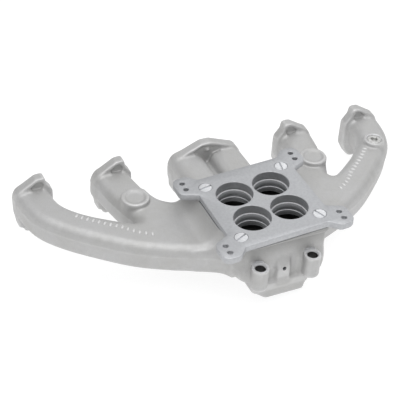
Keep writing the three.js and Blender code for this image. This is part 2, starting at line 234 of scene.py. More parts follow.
# ---------------------------------------------------------------- the casting's field
CELL = 1.5
HALF_LENGTH = 256.0
MARGIN = 4.0
FIELD_LOW = np.array([-HALF_LENGTH, FRONT_LEFT[0][1] - MARGIN, BASE[0][2] - 2 * MARGIN])
FIELD_HIGH = np.array([HALF_LENGTH, FACE_Y + 2 * MARGIN, 0.0])
COUNT = np.ceil((FIELD_HIGH - FIELD_LOW) / CELL).astype(int)
gx = (FIELD_LOW[0] + CELL * np.arange(COUNT[0]))[:, None, None]
gy = (FIELD_LOW[1] + CELL * np.arange(COUNT[1]))[None, :, None]
gz = (FIELD_LOW[2] + CELL * np.arange(COUNT[2]))[None, None, :]
ax = np.abs(gx)

# Middle lines of the two curved runners: x, y and half width.
ARM_PATH = [
    [40, 21, 49],
    [62, 21.5, 48.5],
    [104, 25, 35],
    [140, 34.5, 24],
    [175.5, 60, 20.8],
    [203.5, 86, 20],
    [221.5, 113, 20.6],
    [OUTER_X, BACK_Y, 21],
    [OUTER_X, BACK_Y + 40, 21],
]
INNER_PATH = [
    [104, 30, 15],
    [111, 66, 18],
    [118.5, 98, 21.5],
    [INNER_X, BACK_Y, 22],
    [INNER_X + 2, BACK_Y + 40, 22],
]
web = np.vstack([[[44, 30], [120, 30], [120, 112], [98.5, 112]], bend((98.5, 112), (93, 72), (44, 70), 12)])

plan_arm = outline_field(ribbon(ARM_PATH), ax, gy)
plan_inner = outline_field(ribbon(INNER_PATH), ax, gy)
plan_web = outline_field(web, ax, gy)
plan_side = join(join(plan_arm, plan_inner, 11.0), plan_web, 4.0)

# The left arm's outer wall sweeps into the housing's front in a wide curve.
sweep = np.vstack([[[-46, -18], [-46, -44]], bend((-55, -44), (-60, -28), (-92, -15), 14)])
plan_side = join(plan_side, outline_field(sweep, gx, gy), 3.0)
plan_mid = outline_field(ribbon([[CENTRE_X, 40, 21], [CENTRE_X, BACK_Y + 30, 21]]), ax, gy)

PARTING = TOP - 13.0
CROWN_ROUND, KEEL_ROUND = 12.5, 8.0
ridge = 0.8 * np.exp(-(((gz - PARTING) / 1.3) ** 2))
draft = np.clip(PARTING - gz, 0, 40) * 0.035


def runner_solid(plan):
    """A runner with a round top, drafted walls and a faint parting ridge."""
    crown = meet(plan - ridge, gz - TOP, CROWN_ROUND)
    keel = meet(plan + draft - ridge, BOTTOM - gz, KEEL_ROUND)
    return np.maximum(crown, keel)


def column(u, centre, radius):
    """Signed distance to an upright round column."""
    return np.hypot(u - centre[0], gy - centre[1]) - radius


side = runner_solid(plan_side)
mid = runner_solid(plan_mid)

# A low web ties the two middle runners together.
floor_web = meet(ax - 9.0, np.maximum(gz + 49.0, BOTTOM + 6.0 - gz), 2.0)
floor_web = np.maximum(floor_web, np.maximum(gy - BACK_Y - 4.0, 50.0 - gy))
mid = join(mid, floor_web, 3.0)

# The housing's front wall lies back under a thin lip, with a drilled pad between two hollows.
hx, hy0, hy1 = HOUSING[1][0], HOUSING[0][1], HOUSING[1][1]
pad_x = (PAD[0][0] + PAD[1][0]) / 2
across = np.abs(gx - pad_x)
under_lip = ramp(gz, -58.0, -37.0) * (1 - ramp(gz, -18.5, -14.0))
pad_swell = (1 - ramp(across, 4.0, 11.0)) * ramp(gz, -80.0, -70.0)
pad_swell = pad_swell * (1 - ramp(gz, PAD[1][2] - 5.0, PAD[1][2] + 2.0))
hollow_side = ramp(across, 6.5, 12.0) * (1 - ramp(across, 17.0, 25.0))
hollow_side = hollow_side * ramp(gz, -74.0, -67.0) * (1 - ramp(gz, -58.0, -36.0))
proud = 0.9 * pad_swell - 5.0 * hollow_side - 6.0 * under_lip
proud = proud * (1 - ramp(gy, -50.0, -36.0))

plan_housing = outline_field(
    rounded([[-hx, hy0, 24], [hx, hy0, 3], [hx, hy1, 5], [-hx, hy1, 5]]), gx, gy + proud
)
front_housing = outline_field(
    rounded(
        [
            [-34, -83, 4],
            [35, -83, 3],
            [hx - 4, -68, 6],
            [hx, -44, 8],
            [hx, 10, 2],
            [-hx, 10, 2],
            [-hx, -57, 8],
            [-47, -64, 5],
            [-38, -66, 4],
        ]
    ),
    gx,
    gz,
)
housing = meet(plan_housing, front_housing, 3.0)
plan_base = outline_field(
    rounded([[-46, hy0, 16], [41, hy0, 3], [41, 42, 8], [-46, 42, 8]]), gx, gy + proud
)
front_base = outline_field(
    rounded(
        [
            [-17.5, BASE[0][2] - 0.8, 9],
            [31.8, BASE[0][2] - 0.8, 2.5],
            [35.4, -81, 3],
            [35.4, -70, 3],
            [-37, -70, 3],
            [-36.5, -79, 8],
        ]
    ),
    gx,
    gz,
)
base = meet(plan_base, front_base, 2.0)
housing = join(housing, base, 3.0)

# Tubular front bosses.
by = (FRONT_LEFT[0][1] + FRONT_LEFT[1][1]) / 2
br = (FRONT_LEFT[1][0] - FRONT_LEFT[0][0]) / 2
boss_low, boss_top = FRONT_LEFT[0][2], FRONT_LEFT[1][2]
FRONT_X = [(b[0][0] + b[1][0]) / 2 for b in (FRONT_LEFT, FRONT_RIGHT)]
for x in FRONT_X:
    tube = meet(column(gx, (x, by), br - GAP), boss_low - gz, 2.5)
    tube = np.maximum(tube, gz - boss_top - 0.8)
    housing = join(housing, tube, 2.5)

# Everything shares soft fillets; the trunk rises to the deck in a wide one.
hollow = 6.0 + ramp(gz, -58.0, -36.0) * ramp(gy, -40.0, -10.0) * (13.0 + 17.0 * ramp(-gx, 0.0, 40.0))
body = join(housing, side, hollow)
body = join(body, mid, 7.0)


def flange_outline(centre_x):
    """A single port flange, with a clamp notch beside the apex and a stepped foot."""
    corners = [
        [-16.5, 37.5, 4],
        [-6, 37, 5],
        [18, 22, 9],
        [22, -6, 18],
        [17.5, -30, 5],
        [12.5, -31.5, 2],
        [10, -37.5, 4],
        [-15, -37.5, 14],
        [-26, -17, 12],
        [-26, 17, 6],
        [-18, 27.5, 5],
    ]
    return rounded([[centre_x + x, FLANGE_Z + z, r] for x, z, r in corners])


def flange_solid(outline, x):
    """A flange carried back from its front face, its edges just softened."""
    return meet(outline_field(outline, x, gz), np.abs(gy - BACK_Y - FLANGE_DEEP) - FLANGE_DEEP, 1.6)


double_outline = rounded(
    [
        [-6, -20, 10],
        [6, -20, 10],
        [40, -33, 12],
        [50.5, -52, 12],
        [46, -86, 14],
        [30, -93.5, 10],
        [-30, -93.5, 10],
        [-44, -86, 14],
        [-47, -52, 12],
        [-42, -36, 10],
    ]
)
for centre_x in (OUTER_X, INNER_X):
    body = join(body, flange_solid(flange_outline(centre_x), ax), 5.0)
body = join(body, flange_solid(double_outline, gx), 4.0)

# Each flange is cored out under its apex.
apex_pocket = [[4, 23, 2.5], [-5, 32, 2.5], [-10.5, 33, 2.5], [-14.5, 27, 2.5], [-12, 21.5, 2.5]]
for centre_x in (OUTER_X, INNER_X):
    pocket = rounded([[centre_x + x, FLANGE_Z + z, r] for x, z, r in apex_pocket])
    pocket = meet(outline_field(pocket, ax, gz), np.abs(gy - BACK_Y) - 3.2, 1.4)
    body = meet(body, -pocket, 1.5)
middle_pocket = rounded(
    [[-18, -31, 2], [-7, -23.5, 3], [20, -28, 2], [20, -34, 2], [9, -37, 3], [2, -52, 3], [-8, -38, 3]]
)
middle_pocket = meet(outline_field(middle_pocket, gx, gz), np.abs(gy - BACK_Y) - 2.0, 1.0)
body = meet(body, -middle_pocket, 1.2)
NUB, NUB_R = (1.5, BACK_Y + 2.0, -29.5), 3.4
nub = np.sqrt((gx - NUB[0]) ** 2 + (gy - NUB[1]) ** 2 + (gz - NUB[2]) ** 2) - NUB_R
body = join(body, nub, 1.5)

# Round bosses on the runners.
RECESS_R, RECESS_DEEP = 12.0, 1.8
b5 = (BOSS_5[0] + BOSS_5[1]) / 2
r5 = (BOSS_5[1][0] - BOSS_5[0][0]) / 2
boss = meet(column(ax, b5, r5), gz - BOSS_5[1][2], 1.8)
body = join(body, meet(boss, BOTTOM + 8.0 - gz, 4.0), 2.5)
recess = meet(column(ax, b5, RECESS_R), BOSS_5[1][2] - RECESS_DEEP - gz, 0.8)
body = np.maximum(body, -recess)
b6 = (BOSS_6[0] + BOSS_6[1]) / 2
r6 = (BOSS_6[1][0] - BOSS_6[0][0]) / 2
boss = meet(column(gx, b6, r6), gz - BOSS_6[1][2], 2.0)
body = join(body, meet(boss, BOTTOM + 20.0 - gz, 4.0), 3.0)

# Nothing stands out past the CAD's own level box.
row_x = gx * LEAN_COS + gz * LEAN_SIN
row_z = gz * LEAN_COS - gx * LEAN_SIN
reach = np.maximum(row_x - CAD_HIGH.x / MM, CAD_LOW.x / MM - row_x)
KEEP_IN = 0.3
reach = np.maximum(reach, CAD_LOW.z / MM - row_z) + KEEP_IN
body = meet(body, reach, 2.0)


# Hollow inside: runner passages and the shared chamber.
def passage(plan):
    """The space inside a runner's wall."""
    roof = meet(plan + WALL, gz - TOP + WALL, PORT_ROUND)
    floor_side = meet(plan + WALL, BOTTOM + WALL - gz, PORT_ROUND)
    return np.maximum(roof, floor_side)


chamber_plan = outline_field(
    rounded(
        [
            [-hx - 9, -14, 6],
            [-33, -14, 6],
            [-31, -45, 6],
            [36, -45, 6],
            [44, -23, 6],
            [hx + 9, -23, 6],
            [hx + 9, 61, 6],
            [-hx - 9, 61, 6],
        ]
    ),
    gx,
    gy,
)
CHAMBER_Z, CHAMBER_HALF = -53.0, 17.0
chamber = meet(chamber_plan, np.abs(gz - CHAMBER_Z) - CHAMBER_HALF, 4.0)
cavity = join(join(passage(plan_side), passage(plan_mid), 3.0), chamber, 4.0)
cavity = np.maximum(cavity, gy - (BACK_Y - 6))
body = np.maximum(body, -cavity)


# ---------------------------------------------------------------- materials
class Surface:
    """A procedural metal or fibre surface, built node by node in object space."""

    def __init__(self, name, metallic):
        self.material = bpy.data.materials.new(name)
        self.material.use_nodes = True
        self.tree = self.material.node_tree
        self.shader = self.tree.nodes["Principled BSDF"]
        self.shader.inputs["Metallic"].default_value = metallic
        self.place = self.node("ShaderNodeTexCoord").outputs["Object"]

    def node(self, kind, **settings):
        made = self.tree.nodes.new(kind)
        for key, value in settings.items():
            setattr(made, key, value)
        return made

    def link(self, source, target):
        self.tree.links.new(source, target)

    def noise(self, size, detail=3.0, rough=0.55, stretch=None):
        """Noise whose features are about `size` millimetres across, 0 to 1."""
        made = self.node("ShaderNodeTexNoise")
        made.inputs["Scale"].default_value = 1 / (size * MM)
        made.inputs["Detail"].default_value = detail
        made.inputs["Roughness"].default_value = rough
        place = self.place
        if stretch:
            mapping = self.node("ShaderNodeMapping")
            mapping.inputs["Scale"].default_value = stretch
            self.link(place, mapping.inputs["Vector"])
            place = mapping.outputs["Vector"]
        self.link(place, made.inputs["Vector"])
        return made.outputs["Fac"]

    def mask(self, name):
        """A value stored on the mesh's points, 0 where the mesh has none."""
        return self.node("ShaderNodeAttribute", attribute_name=name).outputs["Fac"]

    def span(self, source, low, high, out_low, out_high):
        """The source rescaled from one range to another, held at both ends."""
        made = self.node("ShaderNodeMapRange")
        self.link(source, made.inputs["Value"])
        limits = {"From Min": low, "From Max": high, "To Min": out_low, "To Max": out_high}
        for key, value in limits.items():
            made.inputs[key].default_value = value
        return made.outputs["Result"]

    def maths(self, operation, a, b):
        made = self.node("ShaderNodeMath", operation=operation)
        for n, value in enumerate((a, b)):
            if isinstance(value, (int, float)):
                made.inputs[n].default_value = value
            else:
                self.link(value, made.inputs[n])
        return made.outputs[0]

    def blend(self, factor, a, b):
        """Mix of two colours; each may be a value, a tuple or a socket."""
        made = self.node("ShaderNodeMix", data_type="RGBA")
        for key, value in ((0, factor), (6, a), (7, b)):
            if isinstance(value, (int, float)):
                made.inputs[key].default_value = value
            elif isinstance(value, tuple):
                made.inputs[key].default_value = (*value, 1)
            else:
                self.link(value, made.inputs[key])
        return made.outputs[2]

    def bump(self, height, depth, strength=1.0, under=None):
        """Bump `depth` millimetres deep, over an earlier one."""
        made = self.node("ShaderNodeBump")
        made.inputs["Strength"].default_value = strength
        made.inputs["Distance"].default_value = depth * MM
        self.link(height, made.inputs["Height"])
        if under:
            self.link(under, made.inputs["Normal"])
        return made.outputs["Normal"]

    def finish(self, colour, roughness, normal):
        self.link(colour, self.shader.inputs["Base Color"])
        self.link(roughness, self.shader.inputs["Roughness"])
        self.link(normal, self.shader.inputs["Normal"])
        return self.material


def cast_surface():
    """Sand-cast aluminium, lighter on worn edges, with painted shade in corners and under the plate and
    painted black shade inside.
    """
    s = Surface("cast_aluminium", 0.6)
    grain = s.noise(0.9, 4.0, 0.6)
    lumps = s.noise(5.0, 2.0, 0.5)
    stains = s.noise(38.0, 4.0, 0.6)
    colour = s.blend(s.span(stains, 0.35, 0.65, 0, 1), (0.512, 0.51, 0.503), (0.552, 0.552, 0.554))
    colour = s.blend(s.span(grain, 0.3, 0.7, 0, 0.35), colour, (0.42, 0.42, 0.418))
    # Painted shade: darker in corners and creases, from how much metal surrounds each point.
    colour = s.blend(s.span(s.mask("crevice_shade"), 0.1, 0.9, 0, 0.3), colour, (0.25, 0.25, 0.24))
    # Painted shadow of the plate's overhang on the front wall.
    colour = s.blend(s.maths("MULTIPLY", s.mask("plate_shadow"), 0.6), colour, (0.27, 0.27, 0.267))
    colour = s.blend(s.maths("MULTIPLY", s.mask("edge"), 0.75), colour, (0.78, 0.78, 0.78))
    # Painted shade: the walls inside the casting are coloured near black where light does not reach.
    colour = s.blend(s.maths("MULTIPLY", s.mask("inside"), 0.985), colour, (0.012, 0.012, 0.012))
    roughness = s.span(s.maths("ADD", grain, lumps), 0.7, 1.3, 0.5, 0.66)
    normal = s.bump(grain, 0.22, 0.55)
    normal = s.bump(lumps, 0.5, 0.35, normal)
    return s.finish(colour, roughness, normal)


def machined_surface(name, light, dark, metallic=0.7):
    """Cut aluminium: fine tool lines over a clean bright face."""
    s = Surface(name, metallic)
    mottle = s.noise(3.2, 4.0, 0.6)
    broad = s.noise(22.0, 2.0, 0.5)
    lines = s.noise(1.0, 2.0, 0.6, (0.05, 3.0, 3.0))
    colour = s.blend(s.span(mottle, 0.35, 0.7, 0, 1), light, dark)
    colour = s.blend(s.span(broad, 0.4, 0.7, 0, 0.3), colour, dark)
    roughness = s.span(s.maths("ADD", mottle, lines), 0.7, 1.3, 0.42, 0.56)
    normal = s.bump(lines, 0.05, 0.35)
    normal = s.bump(mottle, 0.1, 0.3, normal)
    return s.finish(colour, roughness, normal)


def plated_surface():
    """Bright zinc plate, clouded and finely scratched."""
    s = Surface("zinc_plated_steel", 1.0)
    cloud = s.noise(2.5, 3.0, 0.6)
    scratch = s.noise(0.8, 3.0, 0.6, (0.12, 2.0, 2.0))
    colour = s.blend(s.span(cloud, 0.3, 0.7, 0, 1), (0.84, 0.85, 0.87), (0.70, 0.71, 0.73))
    roughness = s.span(s.maths("ADD", cloud, scratch), 0.7, 1.3, 0.30, 0.46)
    return s.finish(colour, roughness, s.bump(scratch, 0.04, 0.4))


def steel_surface():
    """Plain turned steel."""
    s = Surface("plain_steel", 0.9)
    cloud = s.noise(3.0, 4.0, 0.6)
    pits = s.noise(0.7, 2.0, 0.5)
    colour = s.blend(s.span(cloud, 0.35, 0.65, 0, 1), (0.66, 0.66, 0.65), (0.48, 0.48, 0.47))
    roughness = s.span(cloud, 0.3, 0.7, 0.32, 0.5)
    return s.finish(colour, roughness, s.bump(pits, 0.08, 0.4))


def fibre_surface():
    """Pressed grey fibre sheet."""
    s = Surface("gasket_fibre", 0.0)
    fibres = s.noise(0.6, 4.0, 0.7, (1.0, 0.25, 1.0))
    colour = s.blend(s.span(fibres, 0.3, 0.7, 0, 1), (0.17, 0.165, 0.155), (0.25, 0.245, 0.23))
    return s.finish(colour, s.span(fibres, 0.2, 0.8, 0.8, 0.95), s.bump(fibres, 0.1, 0.5))


CAST = cast_surface()
MACHINED = machined_surface("machined_aluminium", (0.51, 0.52, 0.535), (0.45, 0.457, 0.475))
# A brighter copy of the machined finish: painted highlight on the bore ledges, the bosses' spot faces and
# hole mouths, and the plug seat.
PAINTED_HIGHLIGHT = machined_surface("machined_painted_highlight", (0.88, 0.885, 0.9), (0.72, 0.725, 0.74), 0.45)
ZINC = plated_surface()
STEEL = steel_surface()
FIBRE = fibre_surface()


# ---------------------------------------------------------------- field to mesh
def surface_net(field, low, cell):
    """Closed mesh of the zero level of a field sampled on a grid."""
    inside = field < 0
    shape = np.array(field.shape) - 1
    total = np.zeros(shape, np.float32)
    where = np.zeros((*shape, 3), np.float32)
    corners = [(i, j, k) for i in (0, 1) for j in (0, 1) for k in (0, 1)]

    def part(grid, corner):
        return grid[tuple(slice(c, c + n) for c, n in zip(corner, shape))]

    for a in corners:
        for axis in range(3):
            if a[axis]:
                continue
            b = tuple(c + (axis == n) for n, c in enumerate(a))
            fa, fb = part(field, a), part(field, b)
            cross = part(inside, a) != part(inside, b)
            t = np.where(cross, fa / np.where(cross, fa - fb, 1), 0)
            total += cross
            for n in range(3):
                where[..., n] += cross * (a[n] + (t if n == axis else 0))
    used = total > 0
    index = np.full(shape, -1, np.int64)
    index[used] = np.arange(used.sum())
    verts = where[used] / total[used][:, None] + np.argwhere(used)
    verts = low + verts * cell
    quads = []
    for axis in range(3):
        u, v = [(1, 2), (2, 0), (0, 1)][axis]
        here = [slice(1, -1)] * 3
        here[axis] = slice(0, -1)
        there = list(here)
        there[axis] = slice(1, None)
        a, b = inside[tuple(here)], inside[tuple(there)]
        at = np.argwhere(a != b)
        at[:, u] += 1
        at[:, v] += 1
        flip = a[a != b]
        ring = []
        for du, dv in ((1, 1), (0, 1), (0, 0), (1, 0)):
            c = at.copy()
            c[:, u] -= du
            c[:, v] -= dv
            ring.append(index[c[:, 0], c[:, 1], c[:, 2]])
        quad = np.stack(ring, 1)
        quad[~flip] = quad[~flip][:, ::-1]
        quads.append(quad)
    return verts, np.vstack(quads)


def relax(verts, quads, rounds):
    """Even out a quad mesh without shrinking it."""
    pairs = np.vstack([quads[:, [i, (i + 1) % 4]] for i in range(4)])
    pairs = np.vstack([pairs, pairs[:, ::-1]])
    count = np.bincount(pairs[:, 0], minlength=len(verts))[:, None]
    for n in range(rounds * 2):
        mean = np.stack(
            [np.bincount(pairs[:, 0], verts[pairs[:, 1], k], len(verts)) for k in range(3)], 1
        )
        verts = verts + (0.5 if n % 2 == 0 else -0.52) * (mean / count - verts)
    return verts


def make_object(name, verts, faces, look):
    """A closed mesh as an object, its faces turned outwards."""
    mesh = bpy.data.meshes.new(name)
    mesh.materials.append(look)
    mesh.from_pydata([tuple(v) for v in verts], [], [tuple(int(i) for i in f) for f in faces])
    mesh.validate()
    b = bmesh.new()
    b.from_mesh(mesh)
    bmesh.ops.recalc_face_normals(b, faces=b.faces)
    b.to_mesh(mesh)
    b.free()
    made = bpy.data.objects.new(name, mesh)
    bpy.context.scene.collection.objects.link(made)
    return made


# Open space at the grid's own faces, so that the surface closes.
for face in (0, -1):
    body[face, :, :] = CELL
    body[:, face, :] = CELL
    body[:, :, face] = CELL
verts, quads = surface_net(body.astype(np.float32), FIELD_LOW, CELL)
verts = relax(verts, quads, 2)
casting = make_object("casting", verts, quads, CAST)


# ---------------------------------------------------------------- machining
def lathe(points, at, sides=64, turn=0.0):
    """Solid of revolution about an upright axis, from [radius, z] points, bottom first."""
    ring, faces = [], []
    for r, z in points:
        for i in range(sides):
            a = turn + 2 * math.pi * i / sides
            ring.append((at[0] + r * math.cos(a), at[1] + r * math.sin(a), z))
    for k in range(len(points) - 1):
        for i in range(sides):
            j = (i + 1) % sides
            faces.append((k * sides + i, k * sides + j, (k + 1) * sides + j, (k + 1) * sides + i))
    faces.append(tuple(range(sides))[::-1])
    faces.append(tuple(range((len(points) - 1) * sides, len(points) * sides)))
    return np.array(ring), faces


def prism(outline, low, high, axis="z"):
    """Outline carried from low to high along z, or along y with the outline in x and z."""
    count = len(outline)
    points = []
    for level in (low, high):
        for a, b in outline:
            points.append((a, b, level) if axis == "z" else (a, level, b))
    faces = [(i, (i + 1) % count, count + (i + 1) % count, count + i) for i in range(count)]
    faces += [tuple(range(count))[::-1], tuple(range(count, 2 * count))]
    return np.array(points), faces


def combine(parts):
    """Several solids as one list of points and faces."""
    verts, faces, start = [], [], 0
    for v, f in parts:
        verts.append(v)
        faces += [tuple(i + start for i in face) for face in f]
        start += len(v)
    return np.vstack(verts), faces


def crisp(made, angle):
    """Smooth shading that keeps edges sharper than the angle."""
    for polygon in made.data.polygons:
        polygon.use_smooth = True
    made.data.set_sharp_from_angle(angle=math.radians(angle))


def carve(target, parts, name, leaning=False, look=None):
    """Cut closed, separate solids out of the target; the cut faces take their own finish."""
    cutter = make_object(name, *combine(parts), look or MACHINED)
    if leaning:
        cutter.data.transform(LEAN.inverted())
    modifier = target.modifiers.new(name, "BOOLEAN")
    modifier.object = cutter
    modifier.operation = "DIFFERENCE"
    modifier.solver = "MANIFOLD"
    modifier.material_mode = "TRANSFER"
    with bpy.context.temp_override(object=target, active_object=target):
        bpy.ops.object.modifier_apply(modifier=name)
    bpy.data.objects.remove(cutter)


def block(x, y, z):
    """Box between two values along each axis."""
    return prism(np.array([[x[0], y[0]], [x[1], y[0]], [x[1], y[1]], [x[0], y[1]]]), *z)


carve(casting, [block((-300, 300), (FACE_Y, FACE_Y + 40), (-140, 20))], "head_face")
carve(casting, [block((-100, 100), (-100, 100), (DECK_Z, 40))], "deck", leaning=True)
carve(casting, [block((-60, 60), (-80, 60), (-130, BASE[0][2]))], "riser_face")

# Profiles of the cuts, as [radius, z] points from the bottom up.
BORE_STEPS = [
    [20.6, -28.6],
    [20.6, -25.4],
    [19.7, -25],
    [19.7, -21.4],
    [20.4, -21],
    [20.4, -17.4],
    [19.7, -17],
    [19.7, DECK_Z - 1.6],
    [20.3, DECK_Z - 0.9],
    [20.3, 0],
]
BORE_MOUTH = [[22.6, -46], [22.6, -29.5], [20.7, -28.5]]
BORE_LEDGE = [[21.9, DECK_Z - 0.4], [21.9, DECK_Z + 2]]
# The ledges take the brighter copy of the machined finish, a painted highlight.
for name, profile, look in (
    ("bores", BORE_STEPS, MACHINED),
    ("mouths", BORE_MOUTH, CAST),
    ("ledges", BORE_LEDGE, PAINTED_HIGHLIGHT),
):
    carve(casting, [lathe(profile, at, 96) for at in BORES], name, leaning=True, look=look)

ports = []
for x in (-OUTER_X, -INNER_X, -CENTRE_X, CENTRE_X, INNER_X, OUTER_X):
    centre = np.array([x, PORT_Z])
    opening = rounded_box(centre - PORT_HALF, centre + PORT_HALF, PORT_ROUND, 8)
    ports.append(prism(opening, BACK_Y - 12, FACE_Y + 5, "y"))
carve(casting, ports, "ports")

FACE_CONE = [[br + 0.4, boss_top], [br + 0.2, boss_top + 0.6], [br - 2.2, boss_top + 4.5]]
FACE_SKIM = [[br + 0.6, boss_top - 0.35], [br + 0.6, boss_top + 0.2]]
BOLT_WAY = [[FRONT_HOLE_R, boss_low - 5], [FRONT_HOLE_R, boss_top - 2.5]]
BOLT_MOUTH = [[FRONT_HOLE_R, boss_top - 2.6], [FRONT_HOLE_R, boss_top - 2.1]]
BOLT_MOUTH += [[7.4, boss_top - 0.3], [7.4, boss_top + 6]]
# The spot faces and hole mouths take the painted highlight finish.
for name, profile, look in (
    ("boss_faces", FACE_CONE, CAST),
    ("boss_skims", FACE_SKIM, PAINTED_HIGHLIGHT),
    ("bolt_ways", BOLT_WAY, CAST),
    ("boss_holes", BOLT_MOUTH, PAINTED_HIGHLIGHT),
):
    carve(casting, [lathe(profile, (x, by), 48) for x in FRONT_X], name, look=look)

b6_top = BOSS_6[1][2]
PLUG_SEAT = [[9.8, b6_top - 4.6], [9.8, b6_top - 0.5], [10.4, b6_top + 0.1], [10.4, b6_top + 3]]
# The plug seat takes the painted highlight finish.
carve(casting, [lathe(PLUG_SEAT, b6[:2], 64)], "plug_seat", look=PAINTED_HIGHLIGHT)

turns = np.linspace(0, 2 * np.pi, 24, endpoint=False)
pad_ring = np.stack([pad_x + PAD_HOLE_R * np.cos(turns), PAD_HOLE_Z + PAD_HOLE_R * np.sin(turns)], 1)
carve(casting, [prism(pad_ring, hy0 - 6, hy0 + 9, "y")], "pad_hole")


# ---------------------------------------------------------------- surface masks for the shaders
def blurred(grid, cells, rounds=3):
    """Box blur, repeated until it is close to a Gaussian."""
    for _ in range(rounds):
        for axis in range(3):
            n = 2 * cells + 1
            padded = np.pad(grid, [(cells + 1, cells) if k == axis else (0, 0) for k in range(3)], "edge")
            total = np.cumsum(padded, axis, dtype=np.float64)
            top = [slice(None)] * 3
            low = [slice(None)] * 3
            top[axis], low[axis] = slice(n, None), slice(0, -n)
            grid = ((total[tuple(top)] - total[tuple(low)]) / n).astype(np.float32)
    return grid


def sample(grid, points):
    """Value of a grid at points, blended between its eight neighbours."""
    at = np.clip((points - FIELD_LOW) / CELL, 0, np.array(grid.shape) - 1.001)
    base_cell = at.astype(int)
    f = at - base_cell
    out = np.zeros(len(points))
    for i in (0, 1):
        for j in (0, 1):
            for k in (0, 1):
                weight = (
                    (f[:, 0] if i else 1 - f[:, 0])
                    * (f[:, 1] if j else 1 - f[:, 1])
                    * (f[:, 2] if k else 1 - f[:, 2])
                )
                out += weight * grid[base_cell[:, 0] + i, base_cell[:, 1] + j, base_cell[:, 2] + k]
    return out


def add_mask(made, name, values):
    """Store one value for each point of a mesh, for its material to read."""
    layer = made.data.attributes.new(name, "FLOAT", "POINT")
    layer.data.foreach_set("value", np.asarray(values, np.float32))


def painted_inside_shade(points):
    """Painted shade: 1 on the walls of the chamber, the passages, the bores' lower ends and the bolt holes.
    """
    inside = (1 - ramp(sample(cavity, points), 0.5, 3.0)) * (1 - ramp(points[:, 1], 92.0, 140.0))
    level_x = points[:, 0] * LEAN_COS + points[:, 2] * LEAN_SIN
    level_z = points[:, 2] * LEAN_COS - points[:, 0] * LEAN_SIN
    under_bores = np.maximum(np.abs(level_x), np.abs(points[:, 1])) < 2 * BORE_AT + 0.5
    under_bores &= (level_z > -60.0) & (level_z < -28.4)
    inside = np.maximum(inside, under_bores)
    for x in FRONT_X:
        in_way = np.hypot(points[:, 0] - x, points[:, 1] - by) < FRONT_HOLE_R + 0.2
        in_way &= (points[:, 2] > boss_low - 0.5) & (points[:, 2] < boss_top - 2.4)
        inside = np.maximum(inside, in_way * 0.88)
    return inside


def painted_plate_shadow(points):
    """Painted shadow of the plate: 1 on the front wall just under it, fading downwards and around the
    bosses.
    """
    level_z = points[:, 2] * LEAN_COS - points[:, 0] * LEAN_SIN
    shade = (1 - ramp(points[:, 1], -54.0, -48.0)) * (1 - ramp(DECK_Z - level_z, 5.0, 32.0))
    for x in FRONT_X:
        clear = ramp(np.hypot(points[:, 0] - x, points[:, 1] - by), br + 0.5, br + 3.0)
        shade = shade * np.where(points[:, 2] > boss_top + 1.0, 1.0, clear)
    return shade


points = np.array([v.co for v in casting.data.vertices])
metal_share = (body < 0).astype(np.float32)
near = blurred(metal_share, max(1, round(2.2 / CELL)))
wide = blurred(metal_share, max(2, round(6.5 / CELL)))
# Painted shade for corners and creases, from how much metal surrounds each point.
add_mask(casting, "crevice_shade", np.clip((sample(wide, points) - 0.5) * 3.0, 0, 1))
add_mask(casting, "edge", np.clip((0.47 - sample(near, points)) * 5.0, 0, 1))
# Painted shade: near black on the walls inside the casting.
add_mask(casting, "inside", painted_inside_shade(points))
# Painted shadow of the plate on the front wall under its overhang.
add_mask(casting, "plate_shadow", painted_plate_shadow(points))
crisp(casting, 48)


# ---------------------------------------------------------------- adapter plate
def inset(outline, amount):
    """Move a counter-clockwise outline inwards along its corner normals."""
    before, after = np.roll(outline, 1, 0), np.roll(outline, -1, 0)
    along = after - before
    along /= np.linalg.norm(along, axis=1)[:, None]
    return outline - np.stack([along[:, 1], -along[:, 0]], 1) * amount


def stacked(outline, rows):
    """Closed solid from one outline, inset by a different amount at each height."""
    points, faces, n = [], [], len(outline)
    for z, amount in rows:
        points += [(x, y, z) for x, y in inset(outline, amount)]
    for k in range(len(rows) - 1):
        for i in range(n):
            j = (i + 1) % n
            faces.append((k * n + i, k * n + j, (k + 1) * n + j, (k + 1) * n + i))
    faces.append(tuple(range(n))[::-1])
    faces.append(tuple(range((len(rows) - 1) * n, len(rows) * n)))
    return np.array(points), faces


ear_x, ear_y, plate_low = PLATE[1][0], PLATE[1][1], PLATE[0][2]
PLATE_WAIST = 62  # half width between the ears
quarter = [
    [PLATE_WAIST, 38, 4],
    [ear_x, 47.5, 9],
    [ear_x, ear_y, 10],
    [ear_x - 19.5, ear_y, 8],
    [ear_x - 30, ear_y - 11.2, 5],
]
right_half = [[x, -y, r] for x, y, r in quarter][::-1] + quarter
plate_outline = rounded(right_half + [[-x, y, r] for x, y, r in right_half][::-1], 14)
# Heights up the plate's edge, and how far each lies inside the outline.
plate_rows = [
    [plate_low, 3.0],
    [plate_low + 0.2, 2.2],
    [plate_low + 0.8, 1.15],
    [plate_low + 1.8, 0.4],
    [plate_low + 3.0, 0.0],
    [-0.75, 0.0],
    [-0.25, 0.2],
    [0.0, 0.65],
]
plate = make_object("adapter_plate_body", *stacked(plate_outline, plate_rows), MACHINED)

SCREWS = {}
for name in ("front_left", "front_right", "rear_right", "rear_left"):
    low, high = level_box("plate_screw_" + name)
    SCREWS[name] = (low + high) / 2
PLATE_BORE = [[21.75, -14], [21.75, -0.5], [22.3, 0.05], [22.3, 2]]
STUD_HOLE = [[3.05, -14], [3.05, -0.75], [3.9, 0.1], [3.9, 2]]
SCREW_SEAT = [[4.2, -14], [4.2, -4.9], [7.9, -1.1], [7.9, -0.35], [8.3, 0.05], [8.3, 2]]
drilling = [lathe(PLATE_BORE, at, 96) for at in BORES]
for sx in (-1, 1):
    for y in (-STUD_Y[1], -STUD_Y[0], *STUD_Y):
        drilling.append(lathe(STUD_HOLE, (sx * STUD_X, y), 32))
drilling += [lathe(SCREW_SEAT, centre[:2], 64) for centre in SCREWS.values()]
carve(plate, drilling, "drilling")
crisp(plate, 32)

